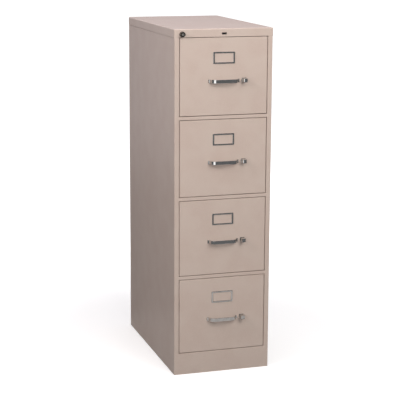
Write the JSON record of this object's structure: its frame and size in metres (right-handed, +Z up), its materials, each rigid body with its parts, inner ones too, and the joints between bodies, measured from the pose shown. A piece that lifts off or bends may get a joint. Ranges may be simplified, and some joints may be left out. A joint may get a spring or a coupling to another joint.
{
  "type": "vertical file cabinet",
  "caption": "Tall narrow steel filing cabinet in putty-beige enamel, with full-width file drawers on ball slides, chrome bow handles, label frames, thumb latches and a plunger lock.",
  "frame": {"origin": "middle of the plan box, handles included, at floor level", "axes": "+X to the right as seen from the front, +Y to the back, +Z up; the drawers open towards -Y"},
  "size_m": [0.384, 0.698, 1.321],
  "materials": {
    "beige_paint": "satin baked enamel, putty beige, fine orange peel",
    "chrome": "bright plated",
    "zinc_steel": "zinc plated sheet",
    "lock_metal": "darkened nickel",
    "plate_finish": "dark satin, unmarked",
    "glide_nylon": "moulded, dull"
  },
  "bodies": {
    "case": {"left_side_panel": "beige_paint", "right_side_panel": "beige_paint", "back_panel": "beige_paint", "top_cap": "beige_paint", "kick_panel": "beige_paint", "base_pan": "beige_paint", "front_rails": "beige_paint", "slide_uprights": "zinc_steel", "cabinet_channels": "zinc_steel", "lock_housing": "lock_metal", "lock_bar_guides": "zinc_steel", "name_plate": "plate_finish", "levelling_glides": "glide_nylon"},
    "lock_plunger": {"lock_plunger": "lock_metal"},
    "lock_plug": {"lock_plug": "chrome"},
    "lock_bar": {"lock_bar": "zinc_steel"},
    "drawer_1": {"drawer_front_1": "beige_paint", "drawer_body_1": "beige_paint", "drawer_channels_1": "zinc_steel", "handle_1": "chrome", "label_holder_1": "chrome"},
    "middle_slides_1": {"middle_channels_1": "zinc_steel"},
    "outer_cages_1": {"outer_ball_cages_1": "zinc_steel"},
    "inner_cages_1": {"inner_ball_cages_1": "zinc_steel"},
    "latch_1": {"thumb_latch_1": "chrome", "latch_bolt_1": "zinc_steel"},
    "file_follower_1": {"follower_1": "beige_paint"},
    "drawer_2": {"drawer_front_2": "beige_paint", "drawer_body_2": "beige_paint", "drawer_channels_2": "zinc_steel", "handle_2": "chrome", "label_holder_2": "chrome"},
    "middle_slides_2": {"middle_channels_2": "zinc_steel"},
    "outer_cages_2": {"outer_ball_cages_2": "zinc_steel"},
    "inner_cages_2": {"inner_ball_cages_2": "zinc_steel"},
    "latch_2": {"thumb_latch_2": "chrome", "latch_bolt_2": "zinc_steel"},
    "file_follower_2": {"follower_2": "beige_paint"},
    "drawer_3": {"drawer_front_3": "beige_paint", "drawer_body_3": "beige_paint", "drawer_channels_3": "zinc_steel", "handle_3": "chrome", "label_holder_3": "chrome"},
    "middle_slides_3": {"middle_channels_3": "zinc_steel"},
    "outer_cages_3": {"outer_ball_cages_3": "zinc_steel"},
    "inner_cages_3": {"inner_ball_cages_3": "zinc_steel"},
    "latch_3": {"thumb_latch_3": "chrome", "latch_bolt_3": "zinc_steel"},
    "file_follower_3": {"follower_3": "beige_paint"},
    "drawer_4": {"drawer_front_4": "beige_paint", "drawer_body_4": "beige_paint", "drawer_channels_4": "zinc_steel", "handle_4": "chrome", "label_holder_4": "chrome"},
    "middle_slides_4": {"middle_channels_4": "zinc_steel"},
    "outer_cages_4": {"outer_ball_cages_4": "zinc_steel"},
    "inner_cages_4": {"inner_ball_cages_4": "zinc_steel"},
    "latch_4": {"thumb_latch_4": "chrome", "latch_bolt_4": "zinc_steel"},
    "file_follower_4": {"follower_4": "beige_paint"}
  },
  "joints": [
    {"name": "lock_plunger_push", "type": "slide", "parent": "case", "child": "lock_plunger", "axis": [0, 1, 0], "range_m": [0, 0.01], "stiffness_N_per_m": 600, "springref_m": -0.012},
    {"name": "lock_plug_turn", "type": "hinge", "parent": "lock_plunger", "child": "lock_plug", "pos_m": [-0.1615, -0.33, 1.302], "axis": [0, 1, 0], "range_deg": [0, 90]},
    {"name": "lock_bar_drop", "type": "slide", "parent": "case", "child": "lock_bar", "axis": [0, 0, -1], "range_m": [0, 0.01]},
    {"name": "drawer_1_slide", "type": "slide", "parent": "case", "child": "drawer_1", "axis": [0, -1, 0], "range_m": [0, 0.6]},
    {"name": "middle_1_slide", "type": "slide", "parent": "case", "child": "middle_slides_1", "axis": [0, -1, 0], "range_m": [0, 0.3]},
    {"name": "outer_cage_1_slide", "type": "slide", "parent": "case", "child": "outer_cages_1", "axis": [0, -1, 0], "range_m": [0, 0.15]},
    {"name": "inner_cage_1_slide", "type": "slide", "parent": "case", "child": "inner_cages_1", "axis": [0, -1, 0], "range_m": [0, 0.45]},
    {"name": "latch_1_thumb", "type": "slide", "parent": "drawer_1", "child": "latch_1", "axis": [-1, 0, 0], "range_m": [0, 0.006], "stiffness_N_per_m": 400, "springref_m": -0.005},
    {"name": "follower_1_slide", "type": "slide", "parent": "drawer_1", "child": "file_follower_1", "axis": [0, -1, 0], "range_m": [0, 0.45]},
    {"name": "drawer_2_slide", "type": "slide", "parent": "case", "child": "drawer_2", "axis": [0, -1, 0], "range_m": [0, 0.6]},
    {"name": "middle_2_slide", "type": "slide", "parent": "case", "child": "middle_slides_2", "axis": [0, -1, 0], "range_m": [0, 0.3]},
    {"name": "outer_cage_2_slide", "type": "slide", "parent": "case", "child": "outer_cages_2", "axis": [0, -1, 0], "range_m": [0, 0.15]},
    {"name": "inner_cage_2_slide", "type": "slide", "parent": "case", "child": "inner_cages_2", "axis": [0, -1, 0], "range_m": [0, 0.45]},
    {"name": "latch_2_thumb", "type": "slide", "parent": "drawer_2", "child": "latch_2", "axis": [-1, 0, 0], "range_m": [0, 0.006], "stiffness_N_per_m": 400, "springref_m": -0.005},
    {"name": "follower_2_slide", "type": "slide", "parent": "drawer_2", "child": "file_follower_2", "axis": [0, -1, 0], "range_m": [0, 0.45]},
    {"name": "drawer_3_slide", "type": "slide", "parent": "case", "child": "drawer_3", "axis": [0, -1, 0], "range_m": [0, 0.6]},
    {"name": "middle_3_slide", "type": "slide", "parent": "case", "child": "middle_slides_3", "axis": [0, -1, 0], "range_m": [0, 0.3]},
    {"name": "outer_cage_3_slide", "type": "slide", "parent": "case", "child": "outer_cages_3", "axis": [0, -1, 0], "range_m": [0, 0.15]},
    {"name": "inner_cage_3_slide", "type": "slide", "parent": "case", "child": "inner_cages_3", "axis": [0, -1, 0], "range_m": [0, 0.45]},
    {"name": "latch_3_thumb", "type": "slide", "parent": "drawer_3", "child": "latch_3", "axis": [-1, 0, 0], "range_m": [0, 0.006], "stiffness_N_per_m": 400, "springref_m": -0.005},
    {"name": "follower_3_slide", "type": "slide", "parent": "drawer_3", "child": "file_follower_3", "axis": [0, -1, 0], "range_m": [0, 0.45]},
    {"name": "drawer_4_slide", "type": "slide", "parent": "case", "child": "drawer_4", "axis": [0, -1, 0], "range_m": [0, 0.6]},
    {"name": "middle_4_slide", "type": "slide", "parent": "case", "child": "middle_slides_4", "axis": [0, -1, 0], "range_m": [0, 0.3]},
    {"name": "outer_cage_4_slide", "type": "slide", "parent": "case", "child": "outer_cages_4", "axis": [0, -1, 0], "range_m": [0, 0.15]},
    {"name": "inner_cage_4_slide", "type": "slide", "parent": "case", "child": "inner_cages_4", "axis": [0, -1, 0], "range_m": [0, 0.45]},
    {"name": "latch_4_thumb", "type": "slide", "parent": "drawer_4", "child": "latch_4", "axis": [-1, 0, 0], "range_m": [0, 0.006], "stiffness_N_per_m": 400, "springref_m": -0.005},
    {"name": "follower_4_slide", "type": "slide", "parent": "drawer_4", "child": "file_follower_4", "axis": [0, -1, 0], "range_m": [0, 0.45]}
  ],
  "couplings": [
    {"joint": "lock_bar_drop", "follows": "lock_plunger_push", "ratio": 1},
    {"joint": "middle_1_slide", "follows": "drawer_1_slide", "ratio": 0.5},
    {"joint": "outer_cage_1_slide", "follows": "drawer_1_slide", "ratio": 0.25},
    {"joint": "inner_cage_1_slide", "follows": "drawer_1_slide", "ratio": 0.75},
    {"joint": "middle_2_slide", "follows": "drawer_2_slide", "ratio": 0.5},
    {"joint": "outer_cage_2_slide", "follows": "drawer_2_slide", "ratio": 0.25},
    {"joint": "inner_cage_2_slide", "follows": "drawer_2_slide", "ratio": 0.75},
    {"joint": "middle_3_slide", "follows": "drawer_3_slide", "ratio": 0.5},
    {"joint": "outer_cage_3_slide", "follows": "drawer_3_slide", "ratio": 0.25},
    {"joint": "inner_cage_3_slide", "follows": "drawer_3_slide", "ratio": 0.75},
    {"joint": "middle_4_slide", "follows": "drawer_4_slide", "ratio": 0.5},
    {"joint": "outer_cage_4_slide", "follows": "drawer_4_slide", "ratio": 0.25},
    {"joint": "inner_cage_4_slide", "follows": "drawer_4_slide", "ratio": 0.75}
  ]
}
